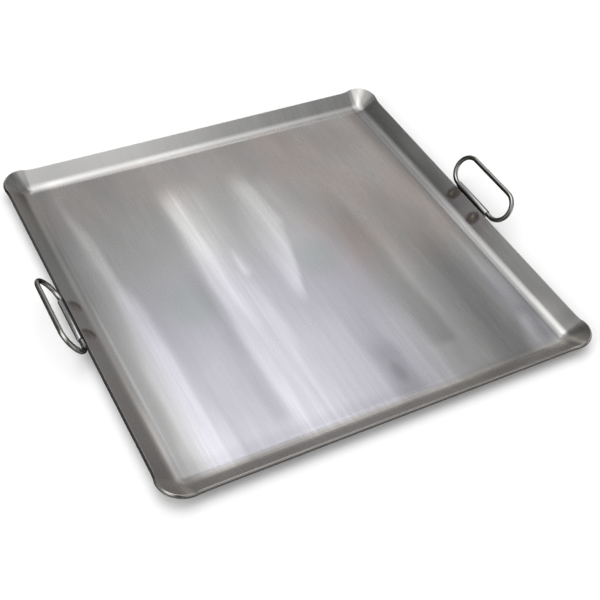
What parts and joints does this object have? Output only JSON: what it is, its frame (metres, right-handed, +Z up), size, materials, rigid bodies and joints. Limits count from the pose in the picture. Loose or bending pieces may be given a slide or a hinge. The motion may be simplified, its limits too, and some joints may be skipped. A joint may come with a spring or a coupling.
{
  "type": "flat top griddle",
  "caption": "Square pressed-steel griddle plate with a shallow flared rim and a folding wire ring handle on each of two sides.",
  "frame": {"origin": "centre of the flat underside of the plate", "axes": "+X towards the right ring handle, +Y towards the rear rim, +Z up, out of the cooking face"},
  "size_m": [0.642, 0.5874, 0.0612],
  "materials": {
    "plate_steel": "mill-scale-free carbon steel, brushed along the depth, faint heat tints",
    "strap_steel": "rolled bright sheet",
    "wire_steel": "bright drawn wire",
    "weld_steel": "remelted steel"
  },
  "bodies": {
    "griddle": {"griddle_plate": "plate_steel", "strap_left": "strap_steel", "strap_right": "strap_steel", "weld_left_front": "weld_steel", "weld_left_rear": "weld_steel", "weld_right_front": "weld_steel", "weld_right_rear": "weld_steel"},
    "handle_left": {"ring_left": "wire_steel"},
    "handle_right": {"ring_right": "wire_steel"}
  },
  "joints": [
    {"name": "left_ring_hinge", "type": "hinge", "parent": "griddle", "child": "handle_left", "pos_m": [-0.29429, 0, 0.02274], "axis": [0, 1, 0], "range_deg": [-80, 98]},
    {"name": "right_ring_hinge", "type": "hinge", "parent": "griddle", "child": "handle_right", "pos_m": [0.29429, 0, 0.02274], "axis": [0, -1, 0], "range_deg": [-85, 93]}
  ]
}
